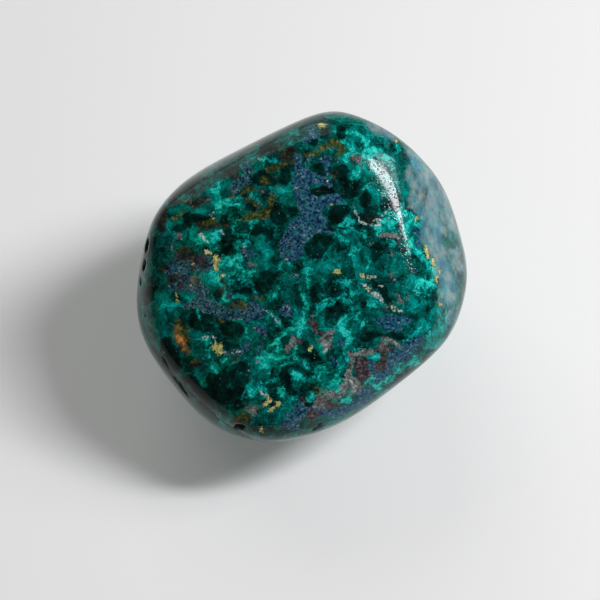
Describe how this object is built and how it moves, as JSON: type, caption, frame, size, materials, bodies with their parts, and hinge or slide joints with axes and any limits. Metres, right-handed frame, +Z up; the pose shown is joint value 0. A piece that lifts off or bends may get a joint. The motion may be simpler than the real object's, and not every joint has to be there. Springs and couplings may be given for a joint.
{
  "type": "dioptase on matrix, tumbled stone",
  "caption": "Polished, tumbled pebble of deep green dioptase in blue-grey and rust-brown matrix, resting on a small flat on its underside.",
  "frame": {"origin": "middle of the pebble's box, on the surface it rests on", "axes": "+Z up, +X along the pebble's longest side, +Y away from the side that the broad polished face leans towards"},
  "size_m": [0.0278, 0.0274, 0.0227],
  "materials": {
    "stone": "polished"
  },
  "bodies": {
    "root": {"stone": "stone"}
  },
  "joints": []
}
